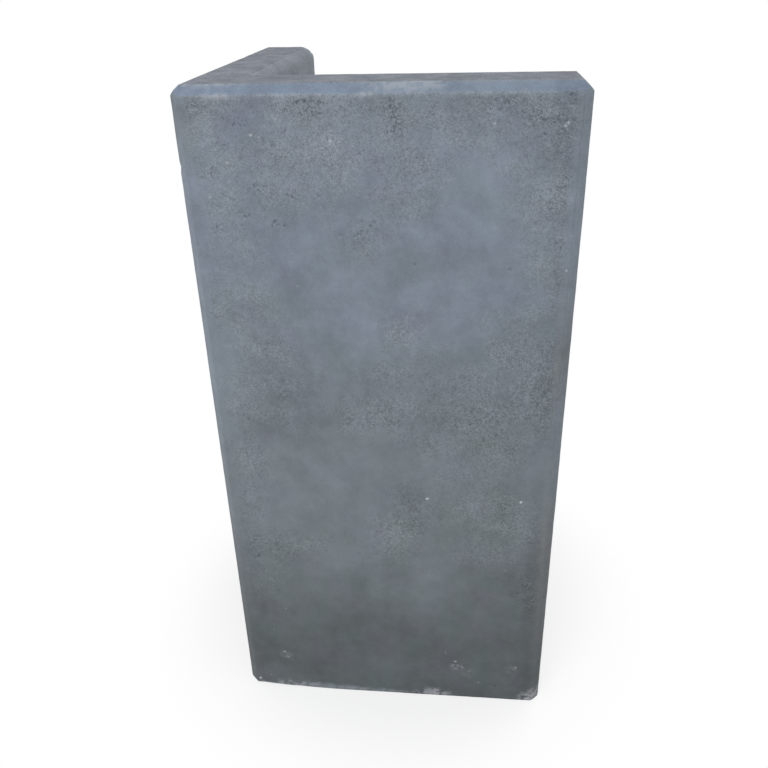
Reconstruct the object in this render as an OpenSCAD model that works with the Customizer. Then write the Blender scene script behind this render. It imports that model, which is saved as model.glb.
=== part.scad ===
// L-shaped retaining wall element.
// Two flat legs meet at a right angle and are cast in one piece of dense concrete. The section is
// the same all the way up, because the piece is pressed standing on end and the mould is lifted off
// it. The outer arrises are chamfered, and the press head forms the chamfer round the top rim. The
// foot of the mould is a flat board, so the bottom edges are plain.
// The origin lies on the floor, under the middle of the rectangle that encloses the plan. The front
// leg's outer face looks along -Y and the side leg's outer face along -X.

/* [Legs] */
// Length of the front leg along X, over the outer corner
front_leg_length = 400; // [150:5:1000]
// Length of the side leg along Y, over the outer corner
side_leg_length = 400; // [150:5:1000]
// Thickness of the front leg
front_leg_thickness = 72; // [50:1:120]
// Thickness of the side leg
side_leg_thickness = 72; // [50:1:120]
// Height of the element, standing on end
height = 800; // [300:10:1200]

/* [Edges] */
// Size of the 45 degree chamfers on the outer upright edges
upright_chamfer = 10; // [2:0.5:20]
// Size of the 45 degree chamfer round the outer top rim
rim_chamfer = 10; // [2:0.5:20]
// Radius of the rounded inner top edge of the side leg
inner_edge_radius = 17; // [2:0.5:25]

/* [Hidden] */
// How far a cutter reaches past the faces that it cuts
cutter_reach = 1;
$fn = 96;

// Plan of the legs, with the outer corner at the origin and its arrises cut off
module legs_plan() {
    polygon([
        [upright_chamfer, 0],
        [front_leg_length - upright_chamfer, 0],
        [front_leg_length, upright_chamfer],
        [front_leg_length, front_leg_thickness],
        [side_leg_thickness, front_leg_thickness],
        [side_leg_thickness, side_leg_length],
        [upright_chamfer, side_leg_length],
        [0, side_leg_length - upright_chamfer],
        [0, upright_chamfer]
    ]);
}

// Wedge that bevels the top edge of an outer face: the face lies on y = 0, runs along +X from the
// origin and has the concrete on its +Y side
module rim_wedge(face_length) {
    translate([-cutter_reach, 0, height])
        rotate([90, 0, 90])
            linear_extrude(face_length + 2 * cutter_reach)
                polygon([
                    [-cutter_reach, cutter_reach],
                    [-cutter_reach, -rim_chamfer - cutter_reach],
                    [rim_chamfer + cutter_reach, cutter_reach]
                ]);
}

// The chamfer follows the four outer faces and mitres at the corners
module rim_chamfers() {
    rim_wedge(front_leg_length);
    mirror([1, -1, 0])
        rim_wedge(side_leg_length);
    translate([front_leg_length, 0, 0])
        rotate([0, 0, 90])
            rim_wedge(front_leg_thickness);
    translate([0, side_leg_length, 0])
        mirror([0, 1, 0])
            rim_wedge(side_leg_thickness);
}

// What is taken off to round the side leg's inner top edge, from the front leg's back to the end
module inner_edge_rounding() {
    translate([side_leg_thickness - inner_edge_radius,
               side_leg_length + cutter_reach,
               height - inner_edge_radius])
        rotate([90, 0, 0])
            linear_extrude(side_leg_length - front_leg_thickness + cutter_reach)
                difference() {
                    square(inner_edge_radius + cutter_reach);
                    circle(inner_edge_radius);
                }
}

module wall_element() {
    color("slategray")
        translate([-front_leg_length / 2, -side_leg_length / 2, 0])
            difference() {
                linear_extrude(height)
                    legs_plan();
                rim_chamfers();
                inner_edge_rounding();
            }
}

wall_element();
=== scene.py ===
import math
import random

import bmesh
import bpy
from mathutils import Euler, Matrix, Vector, kdtree, noise


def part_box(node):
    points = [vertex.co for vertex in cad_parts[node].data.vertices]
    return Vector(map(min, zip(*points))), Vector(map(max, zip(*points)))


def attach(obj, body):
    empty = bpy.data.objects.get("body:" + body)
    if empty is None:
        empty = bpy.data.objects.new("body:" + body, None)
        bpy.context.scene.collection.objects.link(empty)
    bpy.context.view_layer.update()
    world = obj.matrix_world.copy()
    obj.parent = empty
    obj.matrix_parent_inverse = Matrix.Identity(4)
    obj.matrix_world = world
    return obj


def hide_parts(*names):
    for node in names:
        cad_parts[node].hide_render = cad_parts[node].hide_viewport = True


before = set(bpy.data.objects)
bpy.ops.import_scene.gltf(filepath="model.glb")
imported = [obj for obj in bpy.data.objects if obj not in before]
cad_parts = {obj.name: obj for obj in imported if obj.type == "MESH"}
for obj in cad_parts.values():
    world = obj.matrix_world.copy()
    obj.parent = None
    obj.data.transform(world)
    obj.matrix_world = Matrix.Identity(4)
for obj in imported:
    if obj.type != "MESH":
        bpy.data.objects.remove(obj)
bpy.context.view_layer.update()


# ---------------------------------------------------------------------------------------------
# The wall element's body: one dry-pressed concrete casting, L-shaped in plan, standing on end.
# The mould gives it flat faces, a mitred chamfer round its outer rim and on three upright edges,
# and the inner top edge of the side leg is struck to a round. Everything is cut from one block.
# ---------------------------------------------------------------------------------------------
LEG_THICKNESS = 0.072
CHAMFER = 0.010
INNER_ROUND = 0.017
ROUND_STEPS = 8
ARRIS = 0.0012
ARRIS_STEPS = 2
ARRIS_SLOT = 1
WELD = 0.00001

low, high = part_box("wall_element")
middle = (low + high) / 2
inner_x = low.x + LEG_THICKNESS
inner_y = low.y + LEG_THICKNESS
height = high.z - low.z


def select_where(piece, parts, wanted):
    """In edit mode, leaves selected only the faces, edges or vertices whose place passes the test."""
    cage = bmesh.from_edit_mesh(piece.data)
    bpy.ops.mesh.select_all(action="DESELECT")
    for part in getattr(cage, parts):
        if wanted(part):
            part.select_set(True)
    cage.select_flush_mode()
    bmesh.update_edit_mesh(piece.data)


def near(value, target, slack=0.0002):
    """Tells whether a measure agrees with another to within the slack, in metres."""
    return abs(value - target) < slack


bpy.ops.object.select_all(action="DESELECT")
bpy.ops.mesh.primitive_cube_add(
    size=1,
    location=(middle.x, low.y + LEG_THICKNESS / 2, middle.z),
    scale=(high.x - low.x, LEG_THICKNESS, height),
)
element = bpy.context.active_object
element.name = "concrete_element"
bpy.ops.object.transform_apply(location=True, rotation=True, scale=True)

# The front leg's back is opened where the side leg joins it.
bpy.ops.object.mode_set(mode="EDIT")
bpy.ops.mesh.select_mode(type="FACE")
bpy.ops.mesh.select_all(action="SELECT")
bpy.ops.mesh.bisect(plane_co=(inner_x, 0, 0), plane_no=(1, 0, 0))
select_where(
    element,
    "faces",
    lambda face: near(face.calc_center_median().y, inner_y)
    and face.calc_center_median().x < inner_x,
)
bpy.ops.mesh.delete(type="FACE")

# The side leg grows from its own end section, whose inner top corner is rounded first.
bpy.ops.object.mode_set(mode="OBJECT")
bpy.ops.object.select_all(action="DESELECT")
bpy.ops.mesh.primitive_plane_add(
    size=1,
    location=(low.x + LEG_THICKNESS / 2, inner_y, middle.z),
    rotation=(math.radians(90), 0, 0),
)
side_leg = bpy.context.active_object
bpy.ops.object.transform_apply(location=True, rotation=True, scale=True)
bpy.ops.object.mode_set(mode="EDIT")
bpy.ops.transform.resize(
    value=(LEG_THICKNESS, 1, height),
    center_override=(low.x + LEG_THICKNESS / 2, inner_y, middle.z),
)
bpy.ops.mesh.select_mode(type="VERT")
select_where(
    side_leg,
    "verts",
    lambda vertex: near(vertex.co.x, inner_x) and near(vertex.co.z, high.z),
)
bpy.ops.mesh.bevel(
    offset=INNER_ROUND, segments=ROUND_STEPS, profile=0.5, affect="VERTICES"
)
bpy.ops.mesh.select_all(action="SELECT")
bpy.ops.mesh.extrude_region_move(
    TRANSFORM_OT_translate={"value": (0, high.y - inner_y, 0)}
)
bpy.ops.mesh.select_mode(type="FACE")
select_where(
    side_leg, "faces", lambda face: near(face.calc_center_median().y, inner_y)
)
bpy.ops.mesh.delete(type="ONLY_FACE")

# The two legs are joined, welded along their common outline, and the sliver is closed.
bpy.ops.object.mode_set(mode="OBJECT")
element.select_set(True)
bpy.context.view_layer.objects.active = element
bpy.ops.object.join()
bpy.ops.object.mode_set(mode="EDIT")
bpy.ops.mesh.select_mode(type="EDGE")
for place, direction in (
    ((inner_x - INNER_ROUND, 0, 0), (1, 0, 0)),
    ((0, 0, high.z - INNER_ROUND), (0, 0, 1)),
):
    bpy.ops.mesh.select_all(action="SELECT")
    bpy.ops.mesh.bisect(plane_co=place, plane_no=direction)
bpy.ops.mesh.select_all(action="SELECT")
bpy.ops.mesh.remove_doubles(threshold=WELD)
bpy.ops.mesh.select_all(action="DESELECT")
bpy.ops.mesh.select_non_manifold()
bpy.ops.mesh.edge_face_add()
bpy.ops.mesh.select_mode(type="FACE")
bpy.ops.mesh.select_all(action="SELECT")
bpy.ops.mesh.normals_make_consistent(inside=False)

# Plane cuts take off the chamfers: the three upright edges first, then the outer rim all round.
for place, direction in (
    ((low.x, low.y + CHAMFER, 0), (-1, -1, 0)),
    ((high.x, low.y + CHAMFER, 0), (1, -1, 0)),
    ((low.x, high.y - CHAMFER, 0), (-1, 1, 0)),
    ((0, low.y, high.z - CHAMFER), (0, -1, 1)),
    ((low.x, 0, high.z - CHAMFER), (-1, 0, 1)),
    ((high.x, 0, high.z - CHAMFER), (1, 0, 1)),
    ((0, high.y, high.z - CHAMFER), (0, 1, 1)),
):
    bpy.ops.mesh.select_all(action="SELECT")
    bpy.ops.mesh.bisect(
        plane_co=place, plane_no=direction, use_fill=True, clear_outer=True
    )

# Each arris a mould leaves is a millimetre soft, not a knife edge. Its faces take the second of
# two empty material slots, by which they are known later.
element.data.materials.append(None)
element.data.materials.append(None)
SHARP = math.radians(30)
bpy.ops.mesh.select_mode(type="EDGE")
select_where(
    element,
    "edges",
    lambda edge: edge.is_convex and edge.calc_face_angle(0) > SHARP,
)
bpy.ops.mesh.bevel(
    offset=ARRIS, segments=ARRIS_STEPS, profile=0.5, affect="EDGES", material=ARRIS_SLOT
)


def rulings(first, last, pitch):
    """Evenly spaced places from first to last, both included, at about that pitch."""
    steps = round((last - first) / pitch)
    return [first + (last - first) * step / steps for step in range(steps + 1)]


# Rulings in all three directions divide the faces into cells fine enough for wear and hollows.
# They are regular from a chamfer's width inwards, and closer together along the edges.
CELL = 0.0044
SIDE_CELL = 0.0050
REGULAR_FROM = 0.014
EDGE_LINES = (0.0030, 0.0066)
FOOT_LINES = (0.0028, 0.0048, 0.0072, 0.0100)
for axis, start, end, start_lines, pitch in (
    (2, low.z, high.z, FOOT_LINES, CELL),
    (0, low.x, high.x, EDGE_LINES, CELL),
    (1, low.y, high.y, EDGE_LINES, SIDE_CELL),
):
    places = [start + line for line in start_lines]
    places += rulings(start + REGULAR_FROM, end - REGULAR_FROM, pitch)
    places += [end - line for line in EDGE_LINES]
    direction = [float(axis == other) for other in range(3)]
    for place in places:
        bpy.ops.mesh.select_all(action="SELECT")
        bpy.ops.mesh.bisect(
            plane_co=[place * share for share in direction], plane_no=direction
        )


SWELL_SHIFTS = (1, 1.7, 0.3)


def swell(place, size, shift):
    """Smooth noise from -1 to 1 whose lumps are about that size; each shift is another noise."""
    return noise.noise(place / size + Vector([shift * part for part in SWELL_SHIFTS]))


# What the front shows. Each mark is the distance of its middle from the left edge and from the
# foot, half its width and half its height, all in millimetres, and its strength.
SANDY_GROUND = (
    (200, 785, 240, 34, 0.62), (100, 732, 110, 32, 0.75), (225, 725, 50, 30, 0.65), (366, 705, 46, 70, 0.85),
    (310, 750, 60, 20, 0.5), (110, 692, 110, 32, 0.75), (215, 690, 45, 30, 0.7), (45, 640, 40, 50, 0.65),
    (185, 655, 32, 26, 0.7), (374, 630, 38, 50, 0.78), (50, 570, 48, 40, 0.68), (222, 555, 26, 34, 0.6),
    (345, 560, 38, 28, 0.75), (75, 520, 44, 40, 0.72), (262, 520, 40, 24, 0.6), (350, 525, 44, 34, 1.0),
    (70, 485, 50, 30, 0.8), (205, 490, 50, 22, 0.7), (290, 488, 60, 30, 1.0), (368, 475, 36, 56, 1.1),
    (50, 448, 60, 28, 0.68), (190, 450, 60, 26, 0.78), (290, 450, 70, 34, 0.95), (240, 412, 34, 28, 0.72),
    (322, 410, 50, 34, 0.88), (34, 370, 26, 100, 0.76), (305, 368, 50, 28, 0.68), (222, 325, 30, 30, 0.75),
    (325, 318, 74, 40, 0.68), (212, 288, 40, 34, 0.8), (335, 285, 62, 34, 0.7), (60, 254, 50, 26, 0.88),
    (205, 250, 44, 28, 0.68), (328, 250, 52, 26, 0.66), (55, 212, 40, 22, 0.62), (378, 195, 26, 50, 0.72),
    (35, 170, 24, 30, 0.58), (362, 738, 24, 22, 0.9), (80, 645, 34, 30, 0.62),
)
PITTED_GROUND = (
    (135, 779, 13, 11, 0.7), (215, 780, 9, 9, 1.0), (218, 764, 9, 10, 0.9), (317, 782, 16, 8, 0.6),
    (345, 772, 12, 8, 0.35), (377, 770, 13, 16, 0.5), (68, 765, 9, 6, 0.7), (35, 720, 8, 10, 0.8),
    (77, 703, 10, 5, 1.0), (64, 677, 6, 4, 0.7), (94, 667, 8, 5, 1.0), (36, 661, 6, 6, 1.0),
    (178, 657, 8, 6, 1.0), (160, 655, 6, 4, 0.9), (188, 668, 7, 4, 0.6), (112, 695, 6, 4, 0.7),
    (52, 745, 7, 5, 0.6), (107, 757, 8, 5, 0.6), (160, 752, 7, 5, 0.7), (182, 737, 7, 5, 0.5),
    (352, 696, 8, 6, 0.7), (366, 686, 10, 6, 0.6), (384, 712, 8, 8, 0.5), (381, 642, 7, 12, 0.4),
    (225, 325, 6, 8, 0.9), (335, 325, 7, 6, 0.9), (343, 343, 6, 4, 0.6), (34, 234, 8, 6, 1.0),
    (47, 248, 6, 5, 0.6), (165, 210, 6, 5, 0.8), (383, 184, 10, 7, 0.9), (362, 186, 7, 7, 0.7),
    (372, 205, 8, 6, 0.7), (24, 268, 8, 6, 0.5), (252, 640, 8, 4, 0.5), (300, 470, 10, 5, 0.4),
    (384, 789, 14, 3, 1.0), (250, 789, 20, 2, 0.7), (330, 450, 14, 10, 0.4), (20, 560, 7, 8, 0.5),
    (23, 780, 8, 7, 0.4),
)
PALE_DUST = (
    (50, 602, 11, 22, 0.8), (27, 500, 14, 24, 1.0), (22, 426, 14, 20, 1.0), (325, 716, 52, 30, 0.55),
    (345, 632, 42, 24, 0.6), (350, 545, 38, 30, 0.5), (66, 300, 34, 34, 0.35), (150, 240, 30, 26, 0.4),
    (38, 30, 16, 18, 0.5), (30, 520, 26, 60, 0.7), (100, 4, 90, 5, 1.7), (135, 97, 12, 7, 0.5),
    (180, 60, 60, 50, 0.25), (250, 170, 30, 60, 0.3), (380, 360, 24, 60, 0.7), (120, 320, 90, 40, 0.5),
    (235, 789, 30, 12, 0.8), (196, 600, 60, 26, 0.3), (190, 375, 150, 34, 0.6), (268, 455, 40, 20, 0.2),
    (40, 735, 40, 30, 0.3), (26, 350, 26, 110, 0.6), (30, 570, 24, 60, 0.4), (60, 660, 50, 60, 0.4),
    (130, 678, 80, 26, 0.3), (84, 578, 26, 26, 0.5), (295, 502, 50, 36, 0.5), (14, 480, 14, 60, 0.8),
    (312, 800, 60, 9, 0.9), (226, 800, 38, 10, 1.5),
)
DARK_STAIN = (
    (206, 628, 62, 20, 0.7), (122, 420, 58, 22, 0.7), (236, 350, 26, 66, 0.6), (345, 325, 26, 24, 0.6),
    (40, 238, 44, 18, 0.7), (372, 205, 34, 42, 0.8), (165, 205, 30, 20, 0.5), (216, 216, 40, 22, 0.5),
    (104, 585, 26, 22, 0.4), (15, 330, 8, 60, 0.5), (390, 110, 16, 110, 0.8), (225, 60, 18, 60, 0.5),
    (300, 625, 70, 16, 0.5), (330, 780, 60, 12, 0.4), (200, 447, 150, 18, 0.35), (214, 774, 20, 26, 0.4),
    (135, 780, 22, 16, 0.4), (372, 768, 26, 26, 0.4), (330, 395, 60, 14, 0.5), (60, 100, 50, 40, 0.3),
    (200, 690, 40, 14, 0.3), (388, 240, 24, 110, 1.1), (392, 530, 20, 60, 1.0), (10, 768, 17, 36, 1.5),
    (398, 260, 14, 80, 1.0), (18, 205, 28, 85, 1.5), (10, 100, 20, 60, 1.8), (392, 60, 14, 60, 1.5),
    (30, 780, 30, 16, 0.5), (120, 800, 50, 9, 0.6),
)
LIME_BLOOM_AND_HIGHLIGHT = (
    (258, 5, 17, 8, 1.2), (236, 4, 12, 5, 0.6), (386, 5, 13, 8, 1.5), (394, 11, 8, 9, 1.2),
    (58, 6, 38, 6, 0.95), (140, 4, 50, 3, 0.6), (200, 3, 30, 3, 0.4), (48, 790, 14, 2.4, 0.6),
    (56, 61, 7, 7, 0.2), (289, 57, 8, 5, 0.6), (362, 56, 6, 8, 0.25), (302, 46, 8, 8, 0.15),
    # The mark 34 mm from the left edge at 799 mm up is a painted highlight along the top arris.
    (190, 790, 9, 2.2, 0.8), (34, 799, 28, 1.8, 0.5), (115, 790, 40, 1.4, 0.25),
    (290, 790, 60, 1.2, 0.2), (226, 799, 34, 8, 0.45),
)
# Lime grains: distance from the left edge and from the foot and half the length, in millimetres,
# then the lean in degrees and the brightness.
LIME_GRAINS = (
    (248, 333, 2.1, 20, 1.5), (358, 333, 2.1, 60, 1.5), (354, 312, 1.2, 0, 0.6), (78, 754, 2.1, 10, 0.6),
    (155, 748, 2.0, 150, 0.6), (52, 728, 1.9, 40, 0.45), (310, 763, 2.0, 30, 0.45),
    (374.7, 760.4, 1.6, 48, 0.75), (377.3, 763.4, 1.6, 48, 0.7), (222, 766, 1.6, 90, 0.35),
    (30, 694, 1.4, 0, 0.35), (387, 620, 1.7, 70, 0.5), (397, 590, 1.8, 90, 0.5), (54, 68, 2.2, 0, 0.65),
    (286, 67, 2.4, 0, 0.65), (345, 228, 1.3, 0, 0.4), (173, 264, 1.2, 0, 0.45), (62, 147, 1.5, 20, 0.35),
    (112, 600, 1.3, 0, 0.3), (273, 82, 1.4, 0, 0.4), (380, 182, 1.3, 0, 0.4), (86, 752, 1.7, 120, 0.35),
    (163, 747, 1.4, 30, 0.35), (58, 58, 2.6, 120, 0.3), (15, 14, 3.2, 60, 0.8), (304, 50, 1.7, 60, 0.3),
    (318, 30, 1.6, 0, 0.35), (366, 62, 2.4, 80, 0.35), (295, 57, 3.0, 150, 0.25), (40, 40, 1.5, 0, 0.25),
    (31, 22, 1.6, 40, 0.3), (283, 60, 2.4, 30, 0.2), (43, 108, 1.4, 90, 0.25),
)


# A mark is whole over the inner half of its size and gone at one and a half times its size. Two
# noises make its outline ragged: the size of their lumps, their shift and their share.
MARK_END = 1.5
MARK_LUMPS = ((0.013, 7.0, 1.0), (0.005, 8.0, 0.7))
FRONT_DEPTH = 1.2 * CHAMFER
MM = 1000.0


def marked(place, marks, ragged, elsewhere=0.0):
    """How strongly the marks of one kind cover this place on the front, or any place elsewhere."""
    if place.y > low.y + FRONT_DEPTH:
        return elsewhere
    across = (place.x - low.x) * MM
    up = (place.z - low.z) * MM
    uneven = ragged * sum(share * swell(place, size, shift) for size, shift, share in MARK_LUMPS)
    cover = 0.0
    for centre, height_up, half_width, half_height, strength in marks:
        reach = math.hypot((across - centre) / half_width, (up - height_up) / half_height)
        reach += uneven
        cover = max(cover, strength * min(1.0, max(0.0, MARK_END - reach)))
    return cover


# Air holes, chips and lime grains: single cells are cut finer here, to be worked in below.
# Holes crowd under the rim, where the mould was filled last, and thin out lower down. Depths are
# shares of the radius, and odds are for each cell. Random numbers are drawn for each place from
# the seed: places are told apart by steps, shifted so that no flat face lies where a step ends.
GRAIN_CUTS = 5
GRAIN_MARGIN = 0.75 * CELL
HOLE_CUTS = 3
HOLE_RADIUS = (0.0010, 0.0020)
HOLE_DEPTH = (0.4, 0.8)
HOLE_ODDS = 0.0012
RIM_HOLE_ODDS = 0.010
RIM_HOLE_FADE = 0.085
PITTED_HOLE_ODDS = 0.22
PITTED_HOLE_RAGGED = 0.3
TOP_HOLE_ODDS = 0.008
INSIDE_HOLE_ODDS = 0.004
RUBBED_FOOT = 0.012
REGULAR_CELL = 0.8 * CELL * CELL
CHIP_CUTS = 2
CHIP_RADIUS = (0.0018, 0.0038)
CHIP_DEPTH = (0.15, 0.35)
CHIP_ODDS = 0.014
PLAIN_CORNERS = 4
SEED = 11
DRAW_STEP = 0.0025
DRAW_SHIFT = 0.37
FACES_DOWN = -0.5
FACES_UP = 0.9
holes = []
chips = []
grains = []
for across, up, half_length, lean, brightness in LIME_GRAINS:
    spot = Vector((low.x + across / MM, low.y, low.z + up / MM))
    grains.append((spot, half_length / MM, math.radians(lean), brightness))


def draws_at(place):
    """Seeded random numbers of this place's own, since the order in which cells come can change."""
    steps = [math.floor(part / DRAW_STEP + DRAW_SHIFT) for part in place]
    return random.Random(f"{SEED} {steps}")


def holds_grain(face):
    """Tells whether this cell of the front lies under a lime grain."""
    centre = face.calc_center_median()
    return near(centre.y, low.y) and any(
        (centre - spot).length < GRAIN_MARGIN + half_length for spot, half_length, *_ in grains
    )


def wants_hole(face):
    """Draws whether this cell of a flat face holds an air hole, and notes its place and size.

    A cell with more than four corners, left by the cuts beside it, stays whole.
    """
    centre = face.calc_center_median()
    if centre.z < low.z + RUBBED_FOOT or face.normal.z < FACES_DOWN:
        return False
    if face.material_index == ARRIS_SLOT or face.calc_area() < REGULAR_CELL:
        return False
    if holds_grain(face):
        return False
    odds = HOLE_ODDS + RIM_HOLE_ODDS * math.exp((centre.z - high.z) / RIM_HOLE_FADE)
    odds += PITTED_HOLE_ODDS * marked(centre, PITTED_GROUND, PITTED_HOLE_RAGGED)
    if face.normal.z > FACES_UP:
        odds = TOP_HOLE_ODDS
    elif near(centre.x, inner_x) or near(centre.y, inner_y):
        odds = INSIDE_HOLE_ODDS
    picker = draws_at(centre)
    if picker.random() > odds:
        return False
    radius = picker.uniform(*HOLE_RADIUS)
    depth = radius * picker.uniform(*HOLE_DEPTH)
    if len(face.verts) > PLAIN_CORNERS:
        return False
    holes.append((centre.copy(), radius, depth))
    return True


def wants_chip(face):
    """Draws whether this cell of an arris is chipped, and notes the chip's place and size."""
    if face.material_index != ARRIS_SLOT:
        return False
    centre = face.calc_center_median()
    picker = draws_at(centre)
    if picker.random() > CHIP_ODDS:
        return False
    radius = picker.uniform(*CHIP_RADIUS)
    depth = radius * picker.uniform(*CHIP_DEPTH)
    if len(face.verts) > PLAIN_CORNERS:
        return False
    chips.append((centre, radius, depth))
    return True


bpy.ops.mesh.select_mode(type="FACE")
select_where(element, "faces", holds_grain)
bpy.ops.mesh.subdivide(number_cuts=GRAIN_CUTS, ngon=True)
select_where(element, "faces", wants_hole)
bpy.ops.mesh.subdivide(number_cuts=HOLE_CUTS, ngon=True)
select_where(element, "faces", wants_chip)
bpy.ops.mesh.subdivide(number_cuts=CHIP_CUTS, ngon=True)
bpy.ops.object.mode_set(mode="OBJECT")

# Which finish each face has is noted on its corners, so that it changes exactly at an arris:
# red for the rim chamfer, green for the struck top, blue for the plain faces inside the
# angle, and alpha for the upright chamfers. Only an arris where chamfers meet is finished as
# they are; the others are as the flat face beside them. The limits are parts of the normal.
FLAT = 0.98
SLANTED = 0.15
TILTED = 0.3
INSIDE_X = inner_x - 1.1 * INNER_ROUND
INSIDE_Y = (inner_y - 0.0001, high.y - CHAMFER - ARRIS)
body = element.data
finish = body.attributes.new("finish", "FLOAT_COLOR", "CORNER")
for face in body.polygons:
    normal = face.normal
    flat = max(abs(part) for part in normal) > FLAT
    slanted = min(abs(part) for part in normal) > SLANTED
    inside = face.center.x > INSIDE_X and INSIDE_Y[0] < face.center.y < INSIDE_Y[1]
    chamfered = slanted if face.material_index == ARRIS_SLOT else not flat
    rim = chamfered and not inside and normal.z > TILTED
    upright = chamfered and not inside and abs(normal.z) < TILTED
    struck = normal.z > FACES_UP and not rim
    colour = (float(rim), float(struck), float(inside and not struck), float(upright))
    for corner in face.loop_indices:
        finish.data[corner].color = colour


def tree_of(marks):
    """A search tree of where these holes or chips are."""
    tree = kdtree.KDTree(len(marks))
    for index, mark in enumerate(marks):
        tree.insert(mark[0], index)
    tree.balance()
    return tree


# The outline of a hole or chip is ragged by a noise: its share, and its lumps' size and shift.
HOLLOW_RAGGED = 0.7
HOLLOW_LUMPS = (0.0018, 5.0)


def hollow_at(place, marks, tree, flatness):
    """How deep the nearest hole or chip is at this place, as a share of its depth and in metres."""
    index = tree.find(place)[1]
    centre, radius, depth = marks[index]
    offset = place - centre
    offset.z *= flatness
    ragged = radius * (1 + HOLLOW_RAGGED * swell(place, *HOLLOW_LUMPS))
    share = max(0.0, 1 - (offset.length / ragged) ** 2)
    return share, share * depth


# The foot is rubbed round by handling, most of all at its front left corner. Sides are planes
# with their inward direction: the four outer faces, then the three upright chamfers.
SIDES = (
    (Vector((0, 1, 0)), low.y),
    (Vector((1, 0, 0)), low.x),
    (Vector((-1, 0, 0)), -high.x),
    (Vector((0, -1, 0)), -high.y),
    (Vector((1, 1, 0)).normalized(), (low.x + low.y + CHAMFER) / math.sqrt(2)),
    (Vector((-1, 1, 0)).normalized(), (-high.x + low.y + CHAMFER) / math.sqrt(2)),
    (Vector((1, -1, 0)).normalized(), (low.x - high.y + CHAMFER) / math.sqrt(2)),
)
FOOT_ROUND = 0.0018
FOOT_RAGGED = 0.35
FOOT_LUMPS = (0.025, 9.0)
# The worn corner: how far the wear reaches along the foot, its radius, and the power by which it
# fades.
WORN_REACH = 0.130
WORN_ROUND = 0.0105
WORN_FADE = 1.5


def rub_foot(place):
    """Moves a place near the outer bottom edge onto the rounding worn there."""
    share = 1 - math.hypot(place.x - low.x, place.y - low.y) / WORN_REACH
    radius = FOOT_ROUND + WORN_ROUND * max(0.0, share) ** WORN_FADE
    radius *= 1 + FOOT_RAGGED * swell(place, *FOOT_LUMPS)
    for inward, offset in SIDES:
        inset = place.dot(inward) - offset
        rise = place.z - low.z
        if inset < radius and rise < radius:
            arm = math.hypot(radius - inset, radius - rise)
            if arm > radius:
                pull = radius / arm
                place = place + inward * ((radius - inset) * (1 - pull))
                place.z += (radius - rise) * (1 - pull)
    return place


# Every point is now moved in by fractions of a millimetre: broad swells of the mould, worn
# arrises, holes and chips. How much of each is there goes into the attributes the finish reads.
# A swell is the size of its lumps, how far it goes in, and its shift. How much an arris is rubbed
# is a mean and a noise's share, and the noise is its lumps' size and shift.
SWELLS = ((0.110, 0.00022, 1.0), (0.028, 0.00012, 2.0), (0.009, 0.00006, 3.0))
ARRIS_WEAR = 0.00030
RUBBED_MEAN = 0.45
RUBBED_SPREAD = 0.55
RUBBED_LUMPS = (0.014, 4.0)
RUBBED_PALENESS_AND_HIGHLIGHT = 0.6
HOLE_FLATNESS = 1.25
CHIP_FLATNESS = 1.0
# A lime grain is narrower than long; its cover, above 1 at its middle, falls off from there.
GRAIN_SHAPE = 1.4
GRAIN_COVER = 1.9
GRAIN_FALL = 1.7
# The marks, how ragged their outlines are, and their cover away from the front, where the sand
# shows about as much as on the front on average.
PITTED_RAGGED = 0.4
GROUND_MARKS = (
    (SANDY_GROUND, 0.4, 0.62),
    (PALE_DUST, 0.6, 0.0),
    (DARK_STAIN, 0.5, 0.0),
    (LIME_BLOOM_AND_HIGHLIGHT, 0.5, 0.0),
)
SMOOTH_BELOW = math.radians(50)
hole_tree = tree_of(holes)
chip_tree = tree_of(chips)
on_arris = set()
for face in body.polygons:
    if face.material_index == ARRIS_SLOT:
        on_arris.update(face.vertices)
damage = body.attributes.new("damage", "FLOAT_COLOR", "POINT")
ground = body.attributes.new("ground", "FLOAT_COLOR", "POINT")
moved = []
for vertex in body.vertices:
    place = vertex.co.copy()
    inwards = -vertex.normal
    if near(place.z, low.z, WELD):
        moved.append(rub_foot(place))
        continue
    amount = sum(
        size * (0.5 + 0.5 * swell(place, lump, shift)) for lump, size, shift in SWELLS
    )
    hole_share, hole_depth = hollow_at(place, holes, hole_tree, HOLE_FLATNESS)
    chip_share, chip_depth = hollow_at(place, chips, chip_tree, CHIP_FLATNESS)
    rubbed = 0.0
    if vertex.index in on_arris:
        rubbed = max(0.0, RUBBED_MEAN + RUBBED_SPREAD * swell(place, *RUBBED_LUMPS))
    lime = 0.0
    for spot, half_length, lean, brightness in grains:
        away = place - spot
        along = away.x * math.cos(lean) + away.z * math.sin(lean)
        across = away.z * math.cos(lean) - away.x * math.sin(lean)
        spread = math.hypot(along, GRAIN_SHAPE * across, away.y) / half_length
        cover = min(1.0, max(0.0, GRAIN_COVER - GRAIN_FALL * spread))
        lime = max(lime, brightness * cover)
    pitted = marked(place, PITTED_GROUND, PITTED_RAGGED)
    # Chips and rubbed arrises are paler; along the arrises this paleness is also a painted highlight.
    worn = max(chip_share, RUBBED_PALENESS_AND_HIGHLIGHT * rubbed)
    damage.data[vertex.index].color = (hole_share, worn, lime, pitted)
    ground.data[vertex.index].color = [marked(place, *kind) for kind in GROUND_MARKS]
    place += inwards * (amount + ARRIS_WEAR * rubbed + hole_depth + chip_depth)
    moved.append(rub_foot(place))
for vertex, place in zip(body.vertices, moved):
    vertex.co = place
for face in body.polygons:
    face.material_index = 0
body.materials.clear()
body.update()
bpy.ops.object.select_all(action="DESELECT")
element.select_set(True)
bpy.context.view_layer.objects.active = element
bpy.ops.object.shade_smooth_by_angle(angle=SMOOTH_BELOW)
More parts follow.
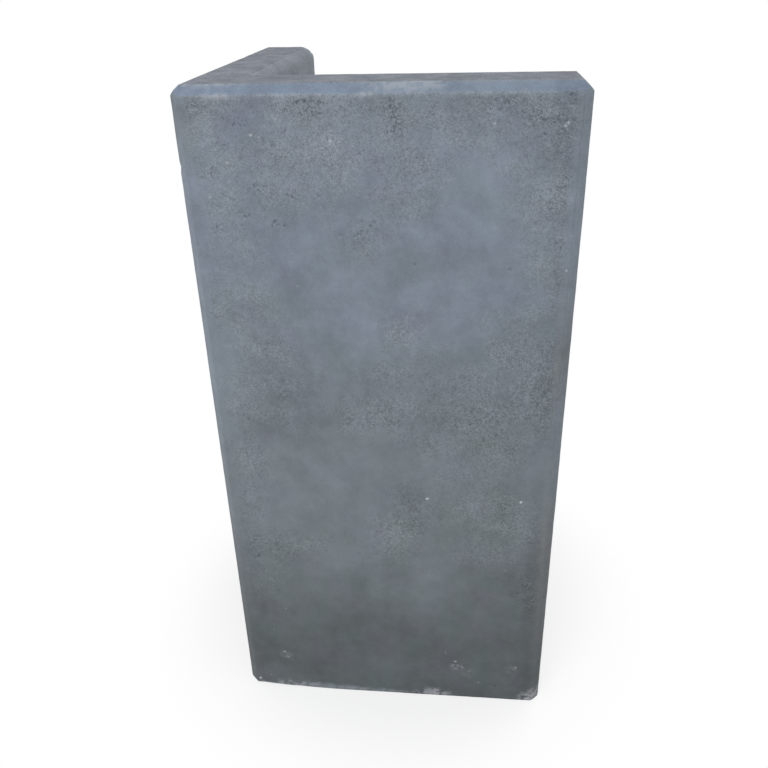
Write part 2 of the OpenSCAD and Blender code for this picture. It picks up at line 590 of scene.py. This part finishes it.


# ---------------------------------------------------------------------------------------------
# Its finish: grey cement and fine sand, pressed almost dry against steel, then stored outdoors.
# Cement fat gives smooth blue-grey skin on the chamfers and in clouds on the faces. Where it is
# thin the sand shows, grainy and pitted. The foot is damp and dirty, with painted shade and lime
# bloom on it.
# ---------------------------------------------------------------------------------------------
def linear(hex_colour):
    """An sRGB hex colour as the linear values a shader works in."""
    parts = [int(hex_colour[i : i + 2], 16) / 255 for i in (1, 3, 5)]
    return [p / 12.92 if p <= 0.04045 else ((p + 0.055) / 1.055) ** 2.4 for p in parts] + [1]


def add(tree, kind, inputs=(), output=0, **settings):
    """Adds a node with its settings and links, and gives back one of its outputs.

    Inputs stand in their order, or by name or number; each is a value or another node's output.
    """
    node = tree.nodes.new("ShaderNode" + kind)
    for name, value in settings.items():
        setattr(node, name, value)
    for socket, value in dict(inputs if isinstance(inputs, dict) else enumerate(inputs)).items():
        if isinstance(value, bpy.types.NodeSocket):
            tree.links.new(value, node.inputs[socket])
        else:
            node.inputs[socket].default_value = value
    return node.outputs[output] if node.outputs else node


concrete = bpy.data.materials.new("dry_pressed_grey_concrete")
concrete.use_nodes = True
tree = concrete.node_tree
tree.nodes.clear()
place = add(tree, "TexCoord", output="Object")
split_place = add(tree, "SeparateXYZ", (place,)).node
sideways = split_place.outputs["X"]
height_up = split_place.outputs["Z"]

# Noise patterns: the size of a lump in millimetres, detail, roughness and upright stretch. Sand
# grains are 0.3 to 1 mm; they are drawn about twice as coarse, because finer would not show.
PATTERNS = {
    "clouds": (130, 2, 0.4, 1),
    "patches": (62, 2, 0.5, 1),
    "mottle": (34, 2, 0.5, 1),
    "streaks": (15, 3, 0.5, 8),
    "clusters": (14, 2, 0.5, 1),
    "lumps": (6.5, 2, 0.6, 1),
    "pits": (3.2, 2, 0.7, 1.1),
    "grit": (3.4, 1, 0.5, 1),
    "grain": (2.2, 1, 0.5, 1),
    "fine_grain": (1.3, 1, 0.5, 1),
    "tint": (45, 2, 0.5, 1),
}
PATTERN_STEP = 1.7
PATTERN_SHIFTS = (1, 0.7, 1.3)
pattern = {}
for order, (name, (size_mm, detail, roughness, stretch)) in enumerate(PATTERNS.items()):
    shift = [PATTERN_STEP * order * part for part in PATTERN_SHIFTS]
    stretched = {"Vector": place, "Location": shift, "Scale": (1, 1, 1 / stretch)}
    stretched = add(tree, "Mapping", stretched)
    lumps = {"Vector": stretched, "Scale": MM / size_mm, "Detail": detail, "Roughness": roughness}
    pattern[name] = add(tree, "TexNoise", lumps)

# The channels of the element's own attributes, by what each of them masks.
CHANNELS = {
    "finish": ("on_rim", "on_top", "inside_angle", "on_upright"),
    "damage": ("in_hole", "on_worn_and_highlit", "on_lime", "pitted"),
    "ground": ("sandy_mark", "pale_mark", "dark_mark", "bloom_and_highlight_mark"),
}
mask = {}
for attribute, names in CHANNELS.items():
    painted = add(tree, "Attribute", attribute_name=attribute).node
    split = add(tree, "SeparateColor", (painted.outputs["Color"],)).node
    for name, channel in zip(names, (*split.outputs, painted.outputs["Alpha"])):
        mask[name] = channel

# What changes with height: two heights in metres, and its value up to the first and from the
# second on.
BY_HEIGHT = {
    "near_rim": (0.70, 0.79, 0.0, 0.12),
    "fine_grain": (0.10, 0.40, 0.8, 1.5),
    "grit": (0.42, 0.54, 0.4, 0.0),
    "sand_contrast": (0.10, 0.40, 0.13, 0.16),
    "broad_contrast": (0.25, 0.42, 0.8, 0.97),
    "upright_skin_and_painted_light": (0.18, 0.60, 0.1, 0.6),
}
by_height = {}
for name, span in BY_HEIGHT.items():
    span = (height_up, *span)
    by_height[name] = add(tree, "MapRange", span, interpolation_type="SMOOTHSTEP")

# What rises from the foot: a neutral tone and, lower down, damp with dirt, whose darkening is partly
# painted shade. Clouds make the upper edge uneven: by how much, and the heights where it ends and
# where it is whole.
RISING = {
    "low_tone": (0.12, 0.70, 0.42),
    "damp_and_shade": (0.08, 0.32, 0.13),
}
rising = {}
for name, (uneven, end, whole) in RISING.items():
    edge = add(tree, "Math", (pattern["clouds"], uneven, height_up), operation="MULTIPLY_ADD")
    rising[name] = add(tree, "MapRange", (edge, end, whole), interpolation_type="SMOOTHSTEP")

# Upright strips, in metres: the skin is smooth beside each outer upright arris, painted shade
# darkens the face along its right edge, and a faint painted shade line lies inside the left chamfer.
SMOOTH_STRIP = (high.x - 0.020, high.x - 0.014)
RIGHT_STRIP = (0.160, 0.176)
SHADE_LINE_PLACE = low.x + 1.2 * CHAMFER
SHADE_LINE_FADE = (0.0055, 0.0005)
across = add(tree, "Math", (sideways,), operation="ABSOLUTE")
along = add(tree, "Math", (split_place.outputs["Y"],), operation="ABSOLUTE")
from_middle = add(tree, "Math", (across, along), operation="MINIMUM")
margin = add(tree, "MapRange", (from_middle, *SMOOTH_STRIP), interpolation_type="SMOOTHSTEP")
to_right = add(tree, "MapRange", (sideways, *RIGHT_STRIP), interpolation_type="SMOOTHSTEP")
painted_shade_line = add(tree, "Math", (sideways, SHADE_LINE_PLACE), operation="SUBTRACT")
painted_shade_line = add(tree, "Math", (painted_shade_line,), operation="ABSOLUTE")
painted_shade_line = add(tree, "MapRange", (painted_shade_line, *SHADE_LINE_FADE), interpolation_type="SMOOTHSTEP")

# Where the cement skin is thin the sand shows: as marked on the front, near any rim, and in
# random patches. Smooth skin hides most of it.
SMOOTH_HIDES = 0.75
SANDY_EDGE = (0.75, 1.30)
smooth = add(tree, "Math", (mask["on_rim"], margin), operation="MAXIMUM")
bare = add(tree, "Math", (smooth, -SMOOTH_HIDES, 1.0), operation="MULTIPLY_ADD")
sandy = by_height["near_rim"]
for cover, weight in (
    (mask["sandy_mark"], 0.60),
    (pattern["patches"], 0.8),
    (pattern["mottle"], 0.5),
):
    sandy = add(tree, "Math", (cover, weight, sandy), operation="MULTIPLY_ADD")
sandy = add(tree, "MapRange", (sandy, *SANDY_EDGE), interpolation_type="SMOOTHSTEP")
sandy = add(tree, "Math", (sandy, bare), operation="MULTIPLY")

# The colours that vary, each between two, by a noise or a mask. Stains are browner in the smooth
# margin of the right edge.
TINT_EDGES = (0.28, 0.72)
TOP_CLOUD_EDGES = (0.3, 0.7)
tint = add(tree, "MapRange", (pattern["tint"], *TINT_EDGES), interpolation_type="SMOOTHSTEP")
browner = add(tree, "Math", (to_right, margin), operation="MULTIPLY")
top_cloud = add(tree, "MapRange", (pattern["clusters"], *TOP_CLOUD_EDGES))
colours = {}
for name, drift, first, second in (
    ("skin", tint, "#7B8691", "#808998"),
    ("neutral", tint, "#778183", "#7A8086"),
    ("stain", browner, "#6C7378", "#747372"),
    ("rim", pattern["clusters"], "#69778B", "#748293"),
    ("top", top_cloud, "#656B75", "#767A82"),
    ("dirt", tint, "#707A7B", "#74787E"),
):
    pair = {0: drift, 6: linear(first), 7: linear(second)}
    colours[name] = add(tree, "Mix", pair, 2, data_type="RGBA")

# Colours are laid over the skin one after another: where, how strongly, and which. The upright
# chamfers are paler, most of all high up and where nothing stains them; this is partly their
# smoother skin and partly painted light.
STAIN_HIDES = 0.55
unstained = add(tree, "Math", (mask["dark_mark"], -STAIN_HIDES, 1.0), operation="MULTIPLY_ADD")
upright = (mask["on_upright"], by_height["upright_skin_and_painted_light"])
upright = add(tree, "Math", upright, operation="MULTIPLY")
upright = add(tree, "Math", (upright, unstained), operation="MULTIPLY")
colour = colours["skin"]
for cover, strength, layer in (
    (sandy, 1.0, linear("#7C848D")),
    (rising["low_tone"], 0.8, colours["neutral"]),
    (mask["dark_mark"], 0.45, colours["stain"]),
    (mask["on_rim"], 1.0, colours["rim"]),
    (upright, 1.0, linear("#8E99A5")),
    (mask["on_top"], 1.0, colours["top"]),
    (mask["inside_angle"], 0.7, linear("#7A7F87")),
    (rising["damp_and_shade"], 0.7, colours["dirt"]),
):
    share = add(tree, "Math", (cover, strength), operation="MULTIPLY")
    colour = add(tree, "Mix", {0: share, 6: colour, 7: layer}, 2, data_type="RGBA")

# Noises summed by weight about their mean: the sand's own light and dark grains, and the broad
# soft patches of the concrete.
SUMS = {
    "sand": {"grain": 0.86, "grit": 0.30, "lumps": 0.35},
    "broad": {"lumps": 0.12, "clusters": 0.28, "mottle": 0.46, "patches": 0.46, "clouds": 0.32},
}
summed = {}
for name, weights in SUMS.items():
    total = -0.5 * sum(weights.values())
    for source, weight in weights.items():
        total = add(tree, "Math", (pattern[source], weight, total), operation="MULTIPLY_ADD")
    summed[name] = total

# The sand is strong where it shows and weak on smooth skin. The dirt film near the foot hides its
# finest grains, and there is more grit in the lower half.
sand = summed["sand"]
for name in ("fine_grain", "grit"):
    about_mean = add(tree, "Math", (pattern[name], 0.5), operation="SUBTRACT")
    sand = add(tree, "Math", (by_height[name], about_mean, sand), operation="MULTIPLY_ADD")
contrast = by_height["sand_contrast"]
for cover, weight in ((sandy, 0.75), (mask["pitted"], 0.25)):
    contrast = add(tree, "Math", (cover, weight, contrast), operation="MULTIPLY_ADD")

# The tone, painted lighter on the left and darker to the right as light from the left, and all that
# lightens or darkens it: where, and by how much. Painted shade darkens the right edge, though less
# so on its chamfer, and the lower stains are darker too.
PAINTED_LIGHT_LEFT_TO_RIGHT = (1.04, 0.98)
tone = add(tree, "MapRange", (sideways, low.x, high.x, *PAINTED_LIGHT_LEFT_TO_RIGHT))
right_painted_shade = add(tree, "Math", (mask["on_upright"], 0.04, -0.095), operation="MULTIPLY_ADD")
low_stain = add(tree, "Math", (rising["low_tone"], mask["dark_mark"]), operation="MULTIPLY")
streak = add(tree, "Math", (pattern["streaks"], 0.16, -0.08), operation="MULTIPLY_ADD")
for cover, weight in (
    (to_right, right_painted_shade),
    (by_height["near_rim"], -0.25),
    (low_stain, -0.045),
    (sand, contrast),
    (painted_shade_line, -0.05),
    (summed["broad"], by_height["broad_contrast"]),
    (streak, rising["low_tone"]),
):
    tone = add(tree, "Math", (cover, weight, tone), operation="MULTIPLY_ADD")

# Small pits and dark grains, most of them where the ground is pitted and near the rim. They, the
# air holes and the damp each take a share of the light away: painted shade in the pits and holes,
# partly painted shade in the damp, and the dark grains' own colour.
PIT_EDGE = 0.27
PIT_SLOPE = 0.05
pit_edge = PIT_EDGE
for cover, weight in ((by_height["near_rim"], 0.5), (mask["pitted"], 0.21)):
    pit_edge = add(tree, "Math", (cover, weight, pit_edge), operation="MULTIPLY_ADD")
pit_inner = add(tree, "Math", (pit_edge, PIT_SLOPE), operation="SUBTRACT")
pit = add(tree, "MapRange", (pattern["pits"], pit_edge, pit_inner), interpolation_type="SMOOTHSTEP")
pit = add(tree, "Math", (pit, bare), operation="MULTIPLY")
for cover, darkness in ((pit, 0.36), (mask["in_hole"], 0.25), (rising["damp_and_shade"], 0.34)):
    share = add(tree, "Math", (cover, -darkness, 1.0), operation="MULTIPLY_ADD")
    tone = add(tree, "Math", (tone, share), operation="MULTIPLY")
colour = add(tree, "VectorMath", {0: colour, "Scale": tone}, operation="SCALE")

# Small quartz grains stand all over, in about three cells of ten. The size of each is drawn with
# its cell: the draw times the spread, less what hides the small ones.
QUARTZ_CELL_MM = 15
QUARTZ_SPREAD = 0.30
QUARTZ_HIDDEN = 0.216
QUARTZ_EDGE = (-0.01, 0.04)
BLOOM_EDGES = (0.35, 0.60)
quartz = add(tree, "TexVoronoi", {"Vector": place, "Scale": MM / QUARTZ_CELL_MM}).node
draw = add(tree, "SeparateColor", (quartz.outputs["Color"],), "Green")
size = add(tree, "Math", (draw, QUARTZ_SPREAD, -QUARTZ_HIDDEN), operation="MULTIPLY_ADD")
size = add(tree, "Math", (size, quartz.outputs["Distance"]), operation="SUBTRACT")
speck = add(tree, "MapRange", (size, *QUARTZ_EDGE), interpolation_type="SMOOTHSTEP")
bloom_and_highlight = add(tree, "MapRange", (pattern["lumps"], *BLOOM_EDGES), interpolation_type="SMOOTHSTEP")
bloom_and_highlight = add(tree, "Math", (bloom_and_highlight, mask["bloom_and_highlight_mark"]), operation="MULTIPLY")

# What is paler, laid over the rest: dust, quartz, rubbed arrises with a painted highlight along them,
# lime bloom with a painted highlight on the top arris at the left, and lime grains.
for cover, strength, paint in (
    (mask["pale_mark"], 0.32, "#87939C"),
    (speck, 0.50, "#A3ABB3"),
    (mask["on_worn_and_highlit"], 0.22, "#8C949E"),
    (bloom_and_highlight, 0.80, "#A8AAB1"),
    (mask["on_lime"], 0.85, "#C6CCD2"),
):
    share = add(tree, "Math", (cover, strength), operation="MULTIPLY")
    colour = add(tree, "Mix", {0: share, 6: colour, 7: linear(paint)}, 2, data_type="RGBA")

# Grains and lumps stand out and pits go in. Smooth skin is less matt than the sand.
LUMP_RELIEF = 0.4
PIT_RELIEF = -0.5
relief = (pattern["lumps"], LUMP_RELIEF, pattern["grain"])
relief = add(tree, "Math", relief, operation="MULTIPLY_ADD")
relief = add(tree, "Math", (relief, contrast), operation="MULTIPLY")
relief = add(tree, "Math", (pit, PIT_RELIEF, relief), operation="MULTIPLY_ADD")
bump = add(tree, "Bump", {"Height": relief, "Distance": 0.0006, "Strength": 0.5})
matt = add(tree, "Math", (smooth, -0.2, 0.9), operation="MULTIPLY_ADD")
shader = {"Base Color": colour, "Roughness": matt, "Normal": bump, "IOR": 1.5}
shader = add(tree, "BsdfPrincipled", shader)
add(tree, "OutputMaterial", (shader,))
body.materials.append(concrete)

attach(element, "root")
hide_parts("wall_element")


# ---------------------------------------------------------------------------------------------
# The floor: a plain pale studio floor. The eye and mirrors see it near white near the element,
# where it keeps the shadow, and all white farther off; its bounce on the element is grey.
# ---------------------------------------------------------------------------------------------
FLOOR_SIZE = 60
SHADOW_FADE = (0.20, 0.42)
WHITENESS = (0.64, 1.0)
bpy.ops.object.select_all(action="DESELECT")
bpy.ops.mesh.primitive_plane_add(size=FLOOR_SIZE, location=(middle.x, middle.y, low.z))
floor = bpy.context.active_object
floor.name = "floor"
bpy.ops.object.transform_apply(location=True, rotation=True, scale=True)
floor_paint = bpy.data.materials.new("pale_studio_floor")
floor_paint.use_nodes = True
tree = floor_paint.node_tree
tree.nodes.clear()
rays = add(tree, "LightPath").node
seen = (rays.outputs["Is Camera Ray"], rays.outputs["Is Glossy Ray"])
seen = add(tree, "Math", seen, operation="MAXIMUM")
seen = add(tree, "Math", (seen, rays.outputs["Is Transmission Ray"]), operation="MAXIMUM")
spot = add(tree, "TexCoord", output="Object")
far_off = add(tree, "VectorMath", (spot,), "Value", operation="LENGTH")
whiteness = (far_off, *SHADOW_FADE, *WHITENESS)
whiteness = add(tree, "MapRange", whiteness, interpolation_type="SMOOTHSTEP")
plain = add(tree, "BsdfDiffuse", {"Color": linear("#A9A9A9")})
white = add(tree, "BsdfDiffuse", {"Color": linear("#F8F8F8")})
glow = add(tree, "Emission", {"Color": (1, 1, 1, 1), "Strength": 1.0})
pale = add(tree, "MixShader", (whiteness, white, glow))
surface = add(tree, "MixShader", (seen, plain, pale))
add(tree, "OutputMaterial", (surface,))
floor.data.materials.append(floor_paint)


# ---------------------------------------------------------------------------------------------
# The light: an overcast sky all round, a big soft lamp high in front and to the left that fades
# towards the foot, and a weaker one from behind on the right, for the inside of the angle.
# ---------------------------------------------------------------------------------------------
world = bpy.data.worlds.new("overcast_studio")
bpy.context.scene.world = world
world.use_nodes = True
tree = world.node_tree
tree.nodes.clear()
rays = add(tree, "LightPath").node
seen = (rays.outputs["Is Camera Ray"], rays.outputs["Is Glossy Ray"])
seen = add(tree, "Math", seen, operation="MAXIMUM")
seen = add(tree, "Math", (seen, rays.outputs["Is Transmission Ray"]), operation="MAXIMUM")
sky = add(tree, "Background", {"Color": (1, 1, 1, 1), "Strength": 0.64})
backdrop = add(tree, "Background", {"Color": (1, 1, 1, 1), "Strength": 1.0})
surface = add(tree, "MixShader", (seen, sky, backdrop))
add(tree, "OutputWorld", (surface,))

# Each lamp's name, place, the point it is aimed at, width and power in watts.
for name, place, aim, width, watts in (
    ("front_lamp", (-0.35, -1.6, 1.9), (0, low.y, 0.55), 1.6, 23),
    ("back_lamp", (1.3, 1.6, 1.6), (0, 0, 0.5), 1.6, 16),
):
    data = bpy.data.lights.new(name, "AREA")
    data.shape = "SQUARE"
    data.size = width
    data.energy = watts
    lamp = bpy.data.objects.new(name, data)
    bpy.context.scene.collection.objects.link(lamp)
    lamp.location = place
    lamp.rotation_mode = "QUATERNION"
    lamp.rotation_quaternion = (Vector(aim) - Vector(place)).to_track_quat("-Z", "Y")


# ---------------------------------------------------------------------------------------------
# The camera stands close in front and above, turned a little to the left and slightly rolled.
# Its place is in metres, its lens in millimetres and its turns in degrees.
# ---------------------------------------------------------------------------------------------
CAMERA_PLACE = (0.0817, -0.9564, 0.8939)
TURN_LEFT = 6.121
TIP_DOWN = 27.446
ROLL = -1.558
camera_data = bpy.data.cameras.new("camera")
camera_data.sensor_width = 36
camera_data.lens = 36.71
camera_data.shift_y = -0.013
camera = bpy.data.objects.new("camera", camera_data)
bpy.context.scene.collection.objects.link(camera)
camera.location = CAMERA_PLACE
turned = Euler((0, 0, math.radians(TURN_LEFT))).to_quaternion()
tipped = Euler((math.radians(90 - TIP_DOWN), 0, 0)).to_quaternion()
rolled = Euler((0, 0, math.radians(ROLL))).to_quaternion()
camera.rotation_mode = "QUATERNION"
camera.rotation_quaternion = turned @ tipped @ rolled
bpy.context.scene.camera = camera
bpy.context.scene.view_settings.view_transform = "Standard"
